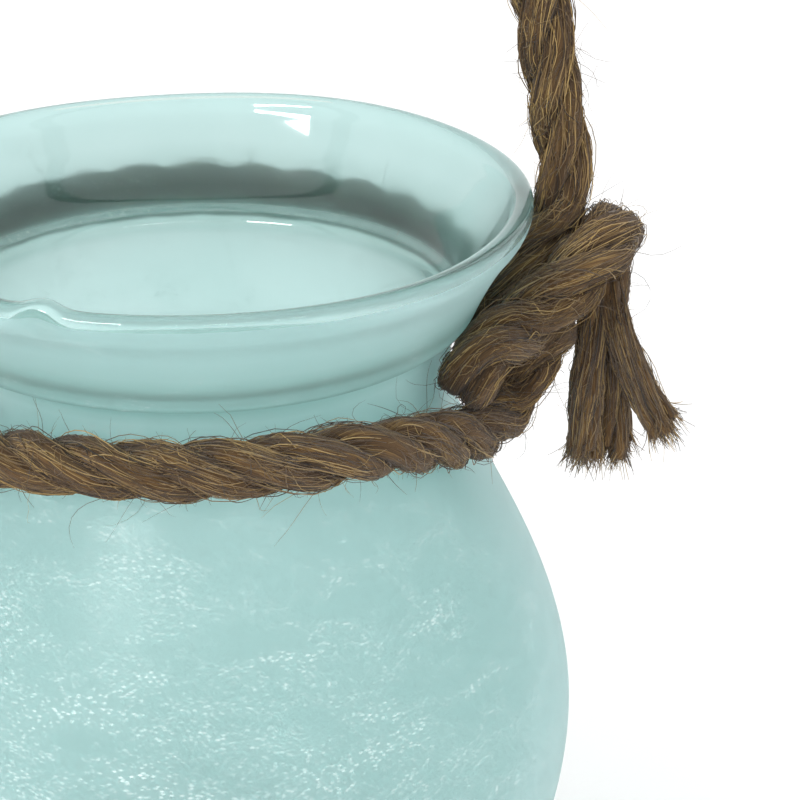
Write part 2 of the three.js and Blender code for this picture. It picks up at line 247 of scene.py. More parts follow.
def make_mesh(name, verts, faces, material, body=None, slot=None, replaces=(), attributes=None, smooth=True):
    """A mesh object from millimetre points, riding on a body."""
    mesh = bpy.data.meshes.new(name)
    verts = np.asarray(verts, np.float64) * MM
    faces = [np.asarray(f, np.int32) for f in (faces if isinstance(faces, list) else [faces])]
    mesh.vertices.add(len(verts))
    mesh.vertices.foreach_set("co", verts.astype(np.float32).ravel())
    corner = np.concatenate([f.ravel() for f in faces])
    counts = np.concatenate([np.full(len(f), f.shape[1], np.int32) for f in faces])
    mesh.loops.add(len(corner))
    mesh.loops.foreach_set("vertex_index", corner)
    mesh.polygons.add(len(counts))
    mesh.polygons.foreach_set("loop_start", np.concatenate([[0], np.cumsum(counts)[:-1]]).astype(np.int32))
    mesh.polygons.foreach_set("use_smooth", np.full(len(counts), smooth))
    for key, values in (attributes or {}).items():
        values = np.asarray(values, np.float32)
        kind = "FLOAT_VECTOR" if values.ndim == 2 else "FLOAT"
        mesh.attributes.new(key, kind, "POINT").data.foreach_set(
            "vector" if values.ndim == 2 else "value", values.ravel())
    mesh.update(calc_edges=True)
    mesh.validate()
    piece = bpy.data.objects.new(name, mesh)
    bpy.context.scene.collection.objects.link(piece)
    for m in material if isinstance(material, (list, tuple)) else [material]:
        mesh.materials.append(m)
    if body:
        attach(piece, body)
    if replaces:
        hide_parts(*replaces)
    return piece


def wander(s, rng, scale, amount):
    """Smooth random numbers along s, which change over about scale and are about amount in size."""
    total = np.zeros_like(s, dtype=float)
    for octave in range(4):
        wave = scale * 1.7 / (1 + octave * 0.83)
        total += math.sin(octave + 1) ** 2 * np.sin(2 * np.pi * s / wave + rng.uniform(0, 2 * np.pi))
    return amount * total / 1.4


# ---- Lines and frames -----------------------------------------------------------------


def spline(points, closed=False, per_span=40):
    """Centripetal Catmull-Rom curve through the points, the curve that the frame's ropes follow."""
    p = np.asarray(points, float)
    if closed:
        p = np.vstack([p[-1], p, p[0], p[1]])
    else:
        p = np.vstack([2 * p[0] - p[1], p, 2 * p[-1] - p[-2]])
    out = []
    u = np.linspace(0, 1, per_span, endpoint=False)[:, None]
    for a, b, c, d in zip(p[:-3], p[1:-2], p[2:-1], p[3:]):
        k0, k1, k2 = (max(np.linalg.norm(y - x), 1e-6) ** 0.5 for x, y in ((a, b), (b, c), (c, d)))
        m1 = ((b - a) / k0 - (c - a) / (k0 + k1) + (c - b) / k1) * k1
        m2 = ((c - b) / k1 - (d - b) / (k1 + k2) + (d - c) / k2) * k1
        out.append((2 * u**3 - 3 * u**2 + 1) * b + (u**3 - 2 * u**2 + u) * m1
                   + (3 * u**2 - 2 * u**3) * c + (u**3 - u**2) * m2)
    if not closed:
        out.append(p[-2][None])
    return np.vstack(out)


def spaced(line, step, closed=False):
    """The line with points a step apart."""
    whole = np.vstack([line, line[:1]]) if closed else line
    along = np.concatenate([[0], np.cumsum(np.linalg.norm(np.diff(whole, axis=0), axis=1))])
    count = max(4, int(round(along[-1] / step)))
    at = np.linspace(0, along[-1], count + 1)[: count if closed else None]
    return np.stack([np.interp(at, along, whole[:, i]) for i in range(3)], 1), at, along[-1]


def unit(v):
    return v / np.maximum(np.linalg.norm(v, axis=-1, keepdims=True), 1e-12)


def frames_along(line, closed=False):
    """Tangents and a pair of normals that turn as little as they can along the line."""
    if closed:
        tangent = unit(np.roll(line, -1, 0) - np.roll(line, 1, 0))
    else:
        tangent = unit(np.gradient(line, axis=0))
    guess = np.array([0.0, 0.0, 1.0]) if abs(tangent[0][2]) < 0.9 else np.array([0.0, 1.0, 0.0])
    normal = np.zeros_like(line)
    normal[0] = unit(guess - guess @ tangent[0] * tangent[0])
    for i in range(1, len(line)):
        step = line[i] - line[i - 1]
        c = max(step @ step, 1e-12)
        mirrored = normal[i - 1] - 2 / c * (step @ normal[i - 1]) * step
        t_mirrored = tangent[i - 1] - 2 / c * (step @ tangent[i - 1]) * step
        turn = tangent[i] - t_mirrored
        c = max(turn @ turn, 1e-12)
        normal[i] = unit(mirrored - 2 / c * (turn @ mirrored) * turn)
    binormal = np.cross(tangent, normal)
    if closed:
        last = unit(normal[-1] - normal[-1] @ tangent[0] * tangent[0])
        off = math.atan2(last @ binormal[0], last @ normal[0])
        back = -off * np.arange(len(line))[:, None] / len(line)
        normal, binormal = (normal * np.cos(back) + binormal * np.sin(back),
                            binormal * np.cos(back) - normal * np.sin(back))
    return tangent, normal, binormal


# ---- The laid rope --------------------------------------------------------------------

STRANDS = 3
STRAND_SHARE = 0.545  # a strand's radius as a share of the rope's
OFFSET_SHARE = 0.475  # its centre's distance from the rope's, likewise
YARNS = 5  # yarns that show round a strand
YARN_RATE = 0.15  # radians per mm that the yarns turn against the lay


class Strand:
    """One strand: its centreline, the frame that turns with the lay, and its surface."""

    def __init__(self, centre, outward, along, radius, key, closed, seed):
        self.centre, self.along, self.radius, self.key, self.closed = centre, along, radius, key, closed
        if closed:
            tangent = unit(np.roll(centre, -1, 0) - np.roll(centre, 1, 0))
        else:
            tangent = unit(np.gradient(centre, axis=0))
        self.tangent = tangent
        self.out = unit(outward - (outward * tangent).sum(1, keepdims=True) * tangent)
        self.side = np.cross(tangent, self.out)
        rng = np.random.default_rng(seed)
        self.phases = rng.uniform(0, 2 * np.pi, 8)
        self.drift = wander(along, rng, 30, 0.35)

    def relief(self, theta, s, drift):
        """The strand's radius at an angle round it and a place along it, in shares of its own."""
        lie = theta + YARN_RATE * s + drift
        f = self.phases
        yarn = np.abs(np.cos(YARNS * lie / 2 + f[0])) ** 0.8
        bundle = np.sin(17 * lie + f[1] + 0.5 * np.sin(s * 0.31 + f[2]))
        fine = np.sin(31 * lie + f[3] + 0.9 * np.sin(s * 0.23 + f[4]))
        swell = np.sin(s * 0.19 + f[5]) * np.sin(2 * lie + s * 0.07 + f[6])
        return 0.915 + 0.125 * yarn + 0.022 * bundle + 0.018 * fine + 0.035 * swell

    def surface(self, around=28, first_angle=0.0):
        theta = first_angle + np.linspace(0, 2 * np.pi, around, endpoint=False)
        s = self.along[:, None]
        r = self.radius[:, None] * self.relief(theta[None], s, self.drift[:, None])
        p = (self.centre[:, None] + r[..., None] * (np.cos(theta)[None, :, None] * self.out[:, None]
             + np.sin(theta)[None, :, None] * self.side[:, None]))
        lie = (theta[None] + YARN_RATE * s + self.drift[:, None]) * self.radius[:, None]
        coords = np.stack(np.broadcast_arrays(s, lie, np.full_like(lie, self.key * 40.0)), -1)
        return p, coords

    def at(self, s, theta, lift):
        """Points on the surface at arrays of places s and angles theta, lifted off it."""
        if self.closed:
            s_in = np.mod(s, self.along[-1] + self.along[1])
        else:
            s_in = s
        pick = lambda a: np.stack([np.interp(s_in, self.along, a[:, i]) for i in range(3)], -1)
        radius = np.interp(s_in, self.along, self.radius)
        drift = np.interp(s_in, self.along, self.drift)
        r = radius * self.relief(theta, s_in, drift) + lift
        return pick(self.centre) + r[..., None] * (np.cos(theta)[..., None] * pick(self.out)
                                                   + np.sin(theta)[..., None] * pick(self.side))


def rope_strands(points, radius, pitch, closed=False, phase=0.0, seed=1, step=0.55, loosen=None):
    """The strands of a laid rope along a line. loosen is a function of the share along the rope
    that gives how much wider than usual the rope is there."""
    line, along, length = spaced(spline(points, closed), step, closed)
    tangent, normal, binormal = frames_along(line, closed)
    turns = length / pitch
    if closed:
        turns = round(turns)
    rng = np.random.default_rng(seed)
    wide = 1 + (np.zeros(len(line)) if loosen is None else loosen(along / length))
    uneven = 0.0 if closed else wander(along, rng, 60, 0.12)
    strands = []
    for k in range(STRANDS):
        angle = 2 * np.pi * (turns * along / length + k / STRANDS) + phase + uneven
        outward = np.cos(angle)[:, None] * normal + np.sin(angle)[:, None] * binormal
        ease = np.minimum(1, np.minimum(along, length - along) / 6) if not closed else 1.0
        stray = 1 + wander(along, rng, 28, 0.035) * ease
        centre = line + (OFFSET_SHARE * radius * wide * stray)[:, None] * outward
        thick = STRAND_SHARE * radius * wide * (1 + wander(along, rng, 34, 0.035) * ease)
        strands.append(Strand(centre, outward, along, thick, k, closed, seed * 10 + k))
    return strands, (line, along, length)


def grid_faces(rows, columns, closed_rows, first=0):
    """Quads over a grid that closes on itself round its columns, and along its rows if asked."""
    r = np.arange(rows if closed_rows else rows - 1)
    c = np.arange(columns)
    a = r[:, None] * columns + c[None]
    b = r[:, None] * columns + (c[None] + 1) % columns
    up = ((r[:, None] + 1) % rows) * columns
    return first + np.stack([a, b, up + (c[None] + 1) % columns, up + c[None]], -1).reshape(-1, 4)


def strands_mesh(strands, around=28, axis=None, reach=1.0):
    """Points, faces and attributes of a rope's strands, with closed ends. The attribute that sets the painted
    shade is
    0 on the rope's outside and 1 down between its strands."""
    verts, quads, tris, lies, painted_shades = [], [], [], [], []
    count = 0
    for strand in strands:
        p, lie = strand.surface(around)
        rows = len(p)
        if axis is None:
            far = np.full(p.shape[:2], reach)
        else:
            far = np.linalg.norm(p - axis[:, None], axis=-1)
        # Painted shade: how far down between the strands a point lies, which darkens its colour in the rope
        # material.
        painted_shade = np.clip((0.97 - far / reach) / 0.35, 0, 1)
        tips = []
        if not strand.closed:
            for row, back in ((0, -0.5), (rows - 1, 0.5)):
                tips.append(p[row].mean(0) + back * strand.radius[row] * strand.tangent[row])
                start = count + row * around
                ring = start + np.arange(around)
                tip = np.full(around, count + rows * around + len(tips) - 1)
                pair = (ring, np.roll(ring, -1)) if row else (np.roll(ring, -1), ring)
                tris.append(np.stack([*pair, tip], 1))
        ends = [0, rows - 1][: len(tips)]
        verts += [p.reshape(-1, 3)] + [np.array(tips).reshape(-1, 3)]
        lies += [lie.reshape(-1, 3)] + [lie[ends].mean(1).reshape(-1, 3)]
        painted_shades += [painted_shade.ravel(), painted_shade[ends].mean(1)]
        quads.append(grid_faces(rows, around, strand.closed, count))
        count += rows * around + len(tips)
    faces = [np.vstack(quads)] + ([np.vstack(tris)] if tris else [])
    return np.vstack(verts), faces, {"lie": np.vstack(lies), "painted_shade": np.concatenate(painted_shades)}


# ---- Fibres ---------------------------------------------------------------------------


FIBRE_CLEAR = 0.6  # mm from the even profile, enough for the glass's wobble


def clear_of_glass(points):
    """The points moved straight out from the axis where they would be in or behind the wall."""
    far = np.hypot(points[..., 0], points[..., 1])
    wall = np.interp(points[..., 2], GLASS_HEIGHTS, GLASS_RADII)
    level = (points[..., 2] > 2) & (points[..., 2] < JAR_HEIGHT - 0.5)
    out = np.where(level, np.maximum(1.0, (wall + FIBRE_CLEAR) / np.maximum(far, 1.0)), 1.0)
    return points * np.stack([out, out, np.ones_like(out)], -1)


def cuts_glass(paths):
    """True for each path that passes through the wall between two of its points."""
    middle = (paths[:, 1:] + paths[:, :-1]) / 2
    far = np.hypot(middle[..., 0], middle[..., 1])
    wall = np.interp(middle[..., 2], GLASS_HEIGHTS, GLASS_RADII)
    level = (middle[..., 2] > 2) & (middle[..., 2] < JAR_HEIGHT - 0.5)
    return (level & (far < wall - 0.2)).any(1)


def fibre_mesh(paths, radii):
    """Three-sided closed tubes along many paths at once: paths is (n, m, 3), radii is (n, m)."""
    n, m = paths.shape[:2]
    tangent = unit(np.gradient(paths, axis=1))
    ref = np.where(np.abs(tangent[..., 2:3]) < 0.85, np.array([0, 0, 1.0]), np.array([1.0, 0, 0]))
    side = unit(np.cross(tangent, ref))
    up = np.cross(side, tangent)
    rings = []
    for j in range(3):
        a = 2 * math.pi * j / 3
        rings.append(paths + radii[..., None] * (math.cos(a) * side + math.sin(a) * up))
    p = np.stack(rings, 2)  # n, m, 3 corners, 3
    verts = p.reshape(-1, 3)
    base = np.arange(n)[:, None, None] * m * 3 + np.arange(m - 1)[None, :, None] * 3
    j = np.arange(3)[None, None]
    a, b = base + j, base + (j + 1) % 3
    quads = np.stack([a, a + 3, b + 3, b], -1).reshape(-1, 4)
    start = np.arange(n)[:, None] * m * 3
    caps = np.vstack([start + np.array([[0, 1, 2]]), start + (m - 1) * 3 + np.array([[2, 1, 0]])])
    return verts, [quads, caps]


FIBRE_POINTS = 7


def lying_fibres(strand, count, rng, points=FIBRE_POINTS, low=0.0, high=None):
    """Fibres that lie along a strand's surface; some cross it, and some stand up in loops."""
    high = strand.along[-1] if high is None else high
    length = np.clip(rng.normal(11, 5, count), 3, 24)
    start = low + rng.uniform(0, 1, count) * np.maximum(high - low - length, 0.5)
    length = np.minimum(length, high - low - 0.5)
    u = np.linspace(0, 1, points)[None]
    s = start[:, None] + length[:, None] * u
    theta0 = rng.uniform(-2.2, 2.2, count)[:, None]
    kind = rng.uniform(0, 1, (count, 1))
    crossing = kind < 0.30
    s = np.where(crossing, s[:, :1] + (s - s[:, :1]) * 0.55, s)
    drift = np.where(crossing, 1.1, 0.2) * rng.normal(0, 1, (count, 1)) * (u - 0.5)
    sway = np.where(crossing, 0.3, 0.12) * rng.normal(0, 1, (count, 1))
    sway = sway * np.sin(2 * np.pi * u + rng.uniform(0, 6.28, (count, 1)))
    theta = theta0 - YARN_RATE * (s - s[:, points // 2 : points // 2 + 1]) + drift + sway
    arch = np.sin(np.pi * u)
    lift = 0.03 + np.abs(rng.normal(0, 0.2, (count, 1))) * arch**0.8
    lift = lift + np.where(kind > 0.86, rng.uniform(0.3, 1.1, (count, 1)), 0.0) * arch
    path = strand.at(s, theta, lift)
    thick = rng.uniform(0.045, 0.12, (count, 1)) * (0.4 + 0.6 * np.clip(np.sin(np.pi * u), 0.02, 1) ** 0.4)
    return path, thick


def stray_fibres(strand, count, rng, points=FIBRE_POINTS, low=0.0, high=None, reach=1.0, long_share=0.06):
    """Fibres that leave the rope's surface and curl away."""
    high = strand.along[-1] if high is None else high
    s = rng.uniform(low + 1, high - 1, count)
    theta = rng.normal(0, 0.9, count)
    root = strand.at(s, theta, np.full(count, -0.25))
    ahead = strand.at(s + 0.6, theta, np.full(count, -0.25))
    axis = strand.at(s, theta, np.full(count, -2.0))
    along = unit(ahead - root) * rng.choice([-1, 1], count)[:, None]
    out = unit(root - axis)
    side = np.cross(along, out)
    length = (1.2 + rng.exponential(2.2, count)) * reach
    is_long = rng.uniform(0, 1, count) < long_share
    length = np.where(is_long, rng.uniform(8, 17, count) * reach, length)[:, None]
    rise = rng.uniform(0.05, 0.9, count)[:, None]
    tilt = rng.normal(0, 0.5, count)[:, None]
    start_way = unit(along + rise * out + tilt * side)
    # The way a fibre points turns steadily round an axis of its own, so it curls into an arc.
    turn_axis = unit(rng.normal(0, 1, (count, 3)))
    turning = rng.normal(0, 1.5, (count, 1, 1))
    u = np.linspace(0, 1, points)[None, :, None]
    angle = turning * u + rng.normal(0, 0.5, (count, 1, 1)) * np.sin(5 * u)
    way, pivot = start_way[:, None], turn_axis[:, None]
    turned = (way * np.cos(angle) + np.cross(pivot, way) * np.sin(angle)
              + pivot * (pivot * way).sum(-1, keepdims=True) * (1 - np.cos(angle)))
    path = root[:, None] + np.cumsum(turned, 1) * length[:, None] / points
    path[:, 0] = root
    thick = rng.uniform(0.03, 0.065, (count, 1)) * (1 - 0.7 * np.linspace(0, 1, points)[None] ** 2)
    return path, thick


def tuft_fibres(strand, count, rng, points=FIBRE_POINTS):
    """Fibres that run on past a yarn's cut end and splay."""
    centre, tangent = strand.centre[-1], strand.tangent[-1]
    spread = strand.radius[-1] * np.sqrt(rng.uniform(0, 1, count))[:, None]
    angle = rng.uniform(0, 2 * np.pi, count)[:, None]
    off = spread * (np.cos(angle) * strand.out[-1] + np.sin(angle) * strand.side[-1])
    root = centre + off - tangent * rng.uniform(1.0, 3.5, (count, 1))
    way = unit(tangent + 0.22 * off + rng.normal(0, 0.12, (count, 3)))
    length = rng.uniform(1.5, 5.2, count)[:, None, None]
    bend = rng.normal(0, 0.22, (count, 3))[:, None]
    u = np.linspace(0, 1, points)[None, :, None]
    path = root[:, None] + length * (u * way[:, None] + u**2 * bend)
    thick = rng.uniform(0.05, 0.12, (count, 1)) * (1 - 0.5 * np.linspace(0, 1, points)[None] ** 2)
    return path, thick


def add_fibres(name, batches, rng, material, **where):
    """One piece from batches of fibre paths, each fibre with its own tint."""
    for index, batch in enumerate(batches):
        paths, radii = (np.concatenate([b[i] for b in batch]) for i in (0, 1))
        paths = clear_of_glass(paths)
        outside = ~cuts_glass(paths)
        paths, radii = paths[outside], radii[outside]
        verts, faces = fibre_mesh(paths, radii)
        tint = np.repeat(np.clip(rng.normal(0.52, 0.24, len(paths)), 0, 1), paths.shape[1] * 3)
        yield make_mesh(f"{name}_{index + 1}" if len(batches) > 1 else name, verts, faces, material,
                        slot="jute_rope", attributes={"tint": tint}, smooth=True, **where)


# ---- Materials ------------------------------------------------------------------------


def jute_strand_material(rope):
    """Jute: a stiff, dull bast fibre, spun and laid. It gives the eye matt brown with hair-fine light and
    dark streaks that follow the yarns; the shade between the strands is painted into the colour."""
    material, tree, _ = new_material("jute_spun_yarn")
    lie = add(tree, "ShaderNodeAttribute", attribute_name="lie").outputs["Vector"]
    painted_shade = add(tree, "ShaderNodeAttribute", attribute_name="painted_shade").outputs["Fac"]
    # Streaks: about 0.25 mm across and 9 mm long.
    streak = noise(tree, stretched(tree, lie, 0.11, 4.0, 1.0), 1.0, 5.0, 0.62)
    patch = noise(tree, stretched(tree, lie, 0.05, 0.45, 1.0), 1.0, 3.0)
    mixed = arithmetic(tree, "MULTIPLY_ADD", patch, 0.45, streak)
    level = arithmetic(tree, "SUBTRACT", mixed, 0.22)
    colour = ramp(tree, level, (0.25, linear(rope.dark)), (0.55, linear(rope.mid)),
                  (0.85, linear(rope.light)))
    # Painted shade: the colour falls to about a fifth of itself down between the strands.
    shade = rescaled(tree, painted_shade, 0.0, 1.0, 1.0, 0.22)
    shaded = add(tree, "ShaderNodeVectorMath", None, {0: colour, 1: shade}, operation="MULTIPLY")
    skin = add(tree, "ShaderNodeBsdfPrincipled", {"Roughness": 0.86, "Specular IOR Level": 0.3,
               "Sheen Weight": 0.15, "Sheen Roughness": 0.5},
               {"Base Color": shaded.outputs[0], "Normal": relief(tree, streak, 0.8, 0.4)})
    set_surface(tree, skin)
    return material


def jute_fibre_material(rope):
    """Loose jute fibres, each of one colour from dark bark to pale straw, with a slight gloss."""
    material, tree, place = new_material("jute_loose_fibre")
    tint = add(tree, "ShaderNodeAttribute", attribute_name="tint").outputs["Fac"]
    mixed = arithmetic(tree, "MULTIPLY_ADD", noise(tree, place, 220.0, 2.0), 0.35, tint)
    level = arithmetic(tree, "SUBTRACT", mixed, 0.17)
    colour = ramp(tree, level, (0.05, linear(rope.dark)), (0.5, linear(rope.mid)), (0.95, linear(rope.light)))
    skin = add(tree, "ShaderNodeBsdfPrincipled", {"Roughness": 0.6, "Specular IOR Level": 0.4,
               "Sheen Weight": 0.2}, {"Base Color": colour})
    set_surface(tree, skin)
    return material


SODA_GLASS_IOR = 1.5
GLASS_WAVES = 28.0  # a metre: the slow unevenness of blown glass
# Heights from the collar's foot, in mm, where its painted shade starts, is full, is still full and ends.
FOOT_SHADE = (-5.5, -1.0, 2.5, 7.5)
FROST_HAZE = 0.42  # share of the light that the frost scatters on through
FROST_MIST = 0.13  # share of the frost that is dry white bloom where there is no fleck
FLECK_BLOOM = 0.62  # what the thickest fleck adds to that


def polished_glass_skin(tree, glass, place):
    waves = noise(tree, place, GLASS_WAVES, 2.0)
    bump = relief(tree, waves, 0.1, 0.8)
    tone = ramp(tree, waves, (0.3, linear(glass.body)), (0.7, linear("#cfe3df")))
    return add(tree, "ShaderNodeBsdfPrincipled", {"Roughness": 0.05, "IOR": SODA_GLASS_IOR,
               "Transmission Weight": 1.0}, {"Base Color": tone, "Normal": bump})


def frosted_glass_skin(tree, glass, place):
    waves = noise(tree, place, GLASS_WAVES, 2.0)
    bump = relief(tree, noise(tree, place, 2400.0, 2.0), 0.12, 0.05)
    pale = ramp(tree, waves, (0.3, linear(glass.frost)), (0.7, linear(glass.frost_light)))
    # Painted shade: a darker band round the collar's rounded foot, the thickest glass, stands in for the
    # deeper tint that light takes through it and for the shade under the overhang.
    split = add(tree, "ShaderNodeSeparateXYZ", links={"Vector": place})
    unshaded, painted_shade = linear("#ffffff"), linear("#9fcac2")
    heights = [(COLLAR_Z + rise) * MM for rise in FOOT_SHADE]
    foot = ramp(tree, split.outputs["Z"], *zip(heights, (unshaded, painted_shade, painted_shade, unshaded)))
    tone = add(tree, "ShaderNodeMix", {0: 1.0}, {6: pale, 7: foot}, data_type="RGBA",
               blend_type="MULTIPLY").outputs[2]
    clear = add(tree, "ShaderNodeBsdfPrincipled", {"Roughness": 0.34, "IOR": SODA_GLASS_IOR,
                "Transmission Weight": 1.0}, {"Base Color": tone, "Normal": bump})
    haze = add(tree, "ShaderNodeBsdfTranslucent", links={"Color": tone, "Normal": bump})
    body = add(tree, "ShaderNodeMixShader", {"Fac": FROST_HAZE}, {1: clear.outputs[0], 2: haze.outputs[0]})
    # Flecks 0.5 to 1.2 mm across, longer along a slant, in clouds that thicken low and to the left.
    slanted = add(tree, "ShaderNodeMapping", {"Rotation": (0.0, 0.5, 0.35), "Scale": (1.0, 1.0, 2.2)},
                  {"Vector": place}).outputs[0]
    speck = add(tree, "ShaderNodeTexVoronoi", {"Scale": 780.0}, {"Vector": slanted}).outputs["Distance"]
    dots = rescaled(tree, speck, 0.46, 0.20)
    low = rescaled(tree, split.outputs["Z"], 150 * MM, 60 * MM, -0.07, 0.10)
    side = rescaled(tree, split.outputs["X"], 60 * MM, -60 * MM, -0.05, 0.06)
    cloud = noise(tree, slanted, 70.0, 8.0, 0.78)
    thick = arithmetic(tree, "ADD", cloud, arithmetic(tree, "ADD", low, side))
    patchy = arithmetic(tree, "MULTIPLY_ADD", dots, 0.9, 0.1)
    flecks = arithmetic(tree, "MULTIPLY", patchy, rescaled(tree, thick, 0.47, 0.72))
    amount = arithmetic(tree, "MULTIPLY_ADD", flecks, FLECK_BLOOM, FROST_MIST)
    bloom = add(tree, "ShaderNodeBsdfPrincipled", {"Base Color": linear("#dff1f0"), "Roughness": 0.8})
    return add(tree, "ShaderNodeMixShader", links={"Fac": amount, 1: body.outputs[0], 2: bloom.outputs[0]})


def glass_material(name, glass, make_skin):
    """Recycled soda glass, blown and tinted pale aqua. The outside is acid-frosted, which blurs
    what is behind it and carries fine white flecks; the inside and lip are fire-polished."""
    material, tree, place = new_material(name)
    set_surface(tree, make_skin(tree, glass, place))
    return material


def foil_material(tealight):
    """Thin rolled aluminium, pressed into a cup: bright, with fine rolling lines."""
    material, tree, place = new_material("pressed_aluminium_foil")
    lines = noise(tree, stretched(tree, place, 1.0, 1.0, 12.0), 500.0, 3.0)
    colour = ramp(tree, lines, (0.2, linear(tealight.metal)), (0.8, linear("#eceef0")))
    rough = rescaled(tree, lines, 0.0, 1.0, 0.24, 0.42)
    skin = add(tree, "ShaderNodeBsdfPrincipled", {"Metallic": 1.0},
               {"Base Color": colour, "Roughness": rough, "Normal": relief(tree, lines, 0.2, 0.05)})
    set_surface(tree, skin)
    return material


def wax_material(tealight):
    """Paraffin wax, poured: white, faintly see-through, with a soft mottled bloom."""
    material, tree, place = new_material("poured_paraffin_wax")
    bloom = noise(tree, place, 260.0, 4.0)
    colour = ramp(tree, bloom, (0.3, linear(tealight.wax)), (0.75, linear("#fffdf6")))
    skin = add(tree, "ShaderNodeBsdfPrincipled", {"Roughness": 0.42, "Subsurface Weight": 0.35,
               "Subsurface Scale": 2.0 * MM},
               {"Base Color": colour, "Normal": relief(tree, bloom, 0.15, 0.2)})
    set_surface(tree, skin)
    return material


def cotton_material():
    """Braided cotton wick, dipped in wax: off-white with a fine diagonal braid."""
    material, tree, place = new_material("braided_cotton_wick")
    # Braid pitch of about 1 mm.
    braid = add(tree, "ShaderNodeTexWave", {"Scale": 320.0, "Distortion": 1.5}, {"Vector": place},
                bands_direction="DIAGONAL").outputs["Fac"]
    colour = ramp(tree, braid, (0.2, linear("#b9ad93")), (0.8, linear("#efe9d9")))
    skin = add(tree, "ShaderNodeBsdfPrincipled", {"Roughness": 0.8},
               {"Base Color": colour, "Normal": relief(tree, braid, 0.5, 0.2)})
    set_surface(tree, skin)
    return material


def floor_material(stage):
    """Matt white seamless paper, with a barely visible tooth."""
    material, tree, place = new_material("matt_paper")
    colour = ramp(tree, noise(tree, place, 900.0, 2.0), (0.3, linear(stage.floor)), (0.7, linear("#fefefe")))
    skin = add(tree, "ShaderNodeBsdfPrincipled", {"Roughness": 0.9, "Specular IOR Level": 0.1},
               {"Base Color": colour})
    set_surface(tree, skin)
    return material


# ---- Jar ------------------------------------------------------------------------------


def bezier(n, *xy):
    p = np.array(xy, float).reshape(-1, 2)
    t = np.linspace(0, 1, n + 1)[:, None]
    if len(p) == 4:
        return ((1 - t) ** 3 * p[0] + 3 * (1 - t) ** 2 * t * p[1] + 3 * (1 - t) * t**2 * p[2] + t**3 * p[3])
    return (1 - t) ** 2 * p[0] + 2 * (1 - t) * t * p[1] + t**2 * p[2]


def joined(*runs):
    p = np.vstack(runs)
    keep = np.concatenate([[True], np.linalg.norm(np.diff(p, axis=0), axis=1) > 0.01])
    return p[keep]


def softened(points, times):
    """The line with its kinks eased, its ends kept."""
    points = points.copy()
    for _ in range(times * 4):
        points[1:-1] = (points[:-2] + 2 * points[1:-1] + points[2:]) / 4
    return points


def body_line(inset, foot, fine):
    """One side of the wall from the foot up to the neck, as the frame's jar has it."""
    belly, neck = BELLY_R - inset, NECK_R - inset
    shoulder_r, shoulder_z = neck + 3, NECK_Z - SHOULDER_RUN / 2
    lower, upper = 0.5 * (BELLY_Z - foot), 0.4 * (shoulder_z - BELLY_Z)
    return joined(
        bezier(9 * fine, BASE_R - inset, foot, BASE_R - inset + 9, foot + 1, belly, BELLY_Z - lower,
               belly, BELLY_Z),
        bezier(9 * fine, belly, BELLY_Z, belly, BELLY_Z + upper, shoulder_r + 6.3, shoulder_z - 14.6,
               shoulder_r, shoulder_z),
        bezier(3 * fine, shoulder_r, shoulder_z, neck, shoulder_z + 4, neck, shoulder_z + SHOULDER_RUN))


def collar_outside(fine):
    return joined(
        bezier(3 * fine, NECK_R, COLLAR_Z - 4.5, NECK_R, COLLAR_Z - 1.8, COLLAR_R - 2.8, COLLAR_Z - 1.7),
        bezier(3 * fine, COLLAR_R - 2.8, COLLAR_Z - 1.7, COLLAR_R - 0.3, COLLAR_Z - 1.7, COLLAR_R, COLLAR_Z),
        bezier(4 * fine, COLLAR_R, COLLAR_Z, COLLAR_R + 0.45 * LIP_FLARE, COLLAR_Z + 0.55 * COLLAR_HEIGHT,
               LIP_R - 1.5, LIP_Z - LIP_BEAD),
        bezier(3 * fine, LIP_R - 1.5, LIP_Z - LIP_BEAD, LIP_R, LIP_Z - LIP_BEAD / 2, LIP_R, LIP_Z))


def lip_and_collar_inside(fine):
    top, inner = JAR_HEIGHT, COLLAR_R - WALL
    return joined(
        bezier(3 * fine, LIP_R, LIP_Z, LIP_R, top, LIP_R - LIP_BEAD / 2, top),
        bezier(3 * fine, LIP_R - LIP_BEAD / 2, top, LIP_R - LIP_BEAD, top, LIP_R - LIP_BEAD - 0.5, LIP_Z - 1),
        bezier(4 * fine, LIP_R - LIP_BEAD - 0.5, LIP_Z - 1, inner + 0.4 * LIP_FLARE,
               COLLAR_Z + 0.5 * COLLAR_HEIGHT, inner, COLLAR_Z + 1.5),
        bezier(3 * fine, inner, COLLAR_Z + 1.5, NECK_R - WALL, COLLAR_Z - 1, NECK_R - WALL, COLLAR_Z - 5))


OUTER_LINE = joined(body_line(0, 0, 1), collar_outside(1))


GLASS_HEIGHTS = np.arange(0, JAR_HEIGHT, 0.25)


def widest_at(z):
    """The jar's outer radius at height z, the wider one where the collar's foot hangs over."""
    a, b = OUTER_LINE[:-1], OUTER_LINE[1:]
    low, high = np.minimum(a[:, 1], b[:, 1]), np.maximum(a[:, 1], b[:, 1])
    crossing = (low <= z + 0.01) & (high >= z - 0.01)
    if not crossing.any():
        return LIP_R
    share = np.clip((z - a[:, 1]) / np.where(b[:, 1] == a[:, 1], 1, b[:, 1] - a[:, 1]), 0, 1)
    return float((a[:, 0] + share * (b[:, 0] - a[:, 0]))[crossing].max())


GLASS_RADII = np.array([widest_at(z) for z in GLASS_HEIGHTS])


def rest_radius(z, r):
    """The smallest radius at height z where a rope of radius r clears the jar's outside."""
    reach = r + GAP + 0.1
    share = np.arange(9)[:, None, None] / 8
    p = (OUTER_LINE[:-1][None] * (1 - share) + OUTER_LINE[1:][None] * share).reshape(-1, 2)
    rise = np.abs(p[:, 1] - z)
    near = rise < reach
    if not near.any():
        return 0.0
    return float((p[near, 0] + np.sqrt(reach**2 - rise[near] ** 2)).max())


